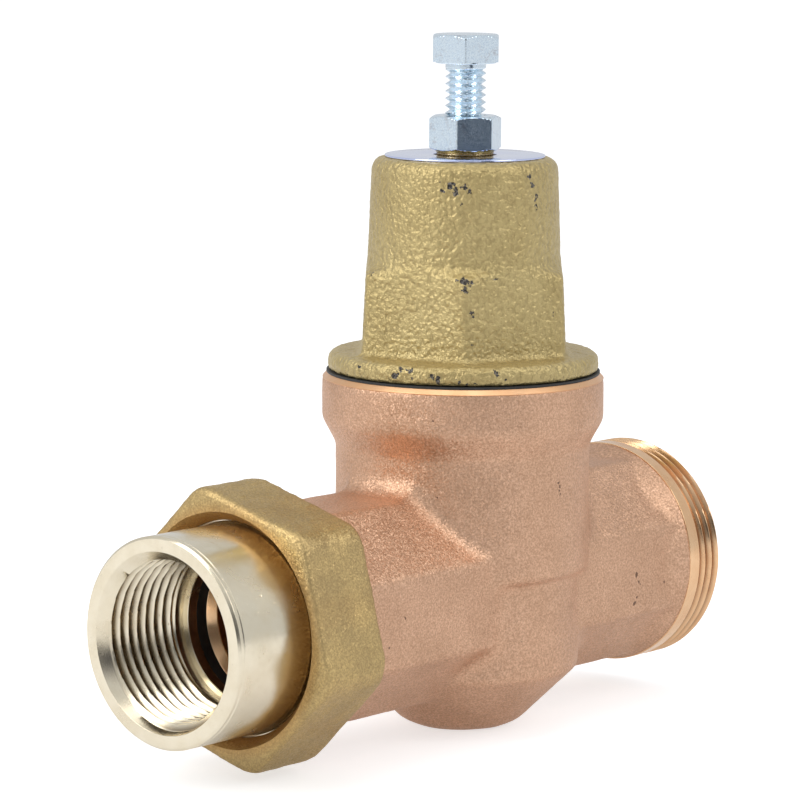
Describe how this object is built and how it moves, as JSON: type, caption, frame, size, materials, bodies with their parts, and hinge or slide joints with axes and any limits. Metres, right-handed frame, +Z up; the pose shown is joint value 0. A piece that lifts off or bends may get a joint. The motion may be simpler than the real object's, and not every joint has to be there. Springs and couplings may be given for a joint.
{
  "type": "pressure reducing valve",
  "caption": "Direct-acting water pressure reducing valve: cast bronze body, union inlet, male union thread outlet, and a painted spring bonnet with an adjusting screw and lock nut.",
  "frame": {"origin": "where the flow axis through both ports crosses the bonnet axis, inside the body", "axes": "+X along the flow from the union inlet to the male outlet, +Z up the bonnet to the adjusting screw, Y across"},
  "size_m": [0.14, 0.0554, 0.1364],
  "materials": {
    "body_bronze": "sand cast, pinkish",
    "nut_brass": "cast, dull olive gold",
    "tailpiece_brass": "lathe turned, bright",
    "bonnet_paint": "rough gold paint on cast iron",
    "bright_plate": "bright",
    "gold_washer": "bright yellow passivate",
    "zinc_steel": "zinc plated",
    "pressed_steel": "pressed, plated",
    "spring_steel": "oiled wire",
    "stainless": "turned",
    "inner_brass": "turned",
    "black_rubber": "matt",
    "fibre": "pressed fibre"
  },
  "bodies": {
    "housing": {"valve_body": "body_bronze", "union_gasket": "black_rubber", "bonnet": "bonnet_paint", "bonnet_gasket": "black_rubber", "cap_plate": "bright_plate", "valve_seat": "stainless", "seat_gasket": "fibre", "cage": "inner_brass", "strainer_screen": "stainless", "slip_ring": "fibre", "diaphragm": "black_rubber", "main_spring": "spring_steel", "return_spring": "spring_steel"},
    "button": {"spring_button": "pressed_steel"},
    "screw": {"adjusting_screw": "zinc_steel"},
    "washer": {"nut_washer": "gold_washer"},
    "locknut": {"lock_nut": "zinc_steel"},
    "spindle": {"stem": "stainless", "poppet": "inner_brass", "seat_disc": "black_rubber", "disc_nut": "inner_brass", "diaphragm_washer": "inner_brass", "pressure_plate": "pressed_steel", "lock_washer": "zinc_steel", "stem_nut": "inner_brass"},
    "tailpiece": {"union_tailpiece": "tailpiece_brass"},
    "unionnut": {"union_nut": "nut_brass"}
  },
  "joints": [
    {"name": "screw_feed", "type": "slide", "parent": "housing", "child": "button", "axis": [0, 0, 1], "range_m": [-0.0049, 0.0049], "deforming": ["main_spring"]},
    {"name": "screw_turn", "type": "hinge", "parent": "button", "child": "screw", "pos_m": [0, 0, 0.09], "axis": [0, 0, 1], "range_deg": [-1260, 1260]},
    {"name": "lock_nut_lift", "type": "slide", "parent": "housing", "child": "washer", "axis": [0, 0, 1], "range_m": [0, 0.0042]},
    {"name": "lock_nut_turn", "type": "hinge", "parent": "washer", "child": "locknut", "pos_m": [0, 0, 0.089], "axis": [0, 0, 1], "range_deg": [0, 1080]},
    {"name": "spindle_lift", "type": "slide", "parent": "housing", "child": "spindle", "axis": [0, 0, 1], "range_m": [0, 0.00245], "stiffness_N_per_m": 1200, "deforming": ["return_spring", "diaphragm"]},
    {"name": "union_part", "type": "slide", "parent": "housing", "child": "tailpiece", "axis": [-1, 0, 0], "range_m": [0, 0.0099]},
    {"name": "union_nut_turn", "type": "hinge", "parent": "tailpiece", "child": "unionnut", "pos_m": [-0.06, 0, 0], "axis": [-1, 0, 0], "range_deg": [0, 1620]}
  ],
  "couplings": [
    {"joint": "screw_turn", "follows": "screw_feed", "rad_per_m": 4452.7},
    {"joint": "lock_nut_turn", "follows": "lock_nut_lift", "rad_per_m": 4452.7},
    {"joint": "union_nut_turn", "follows": "union_part", "rad_per_m": 2844.7}
  ]
}
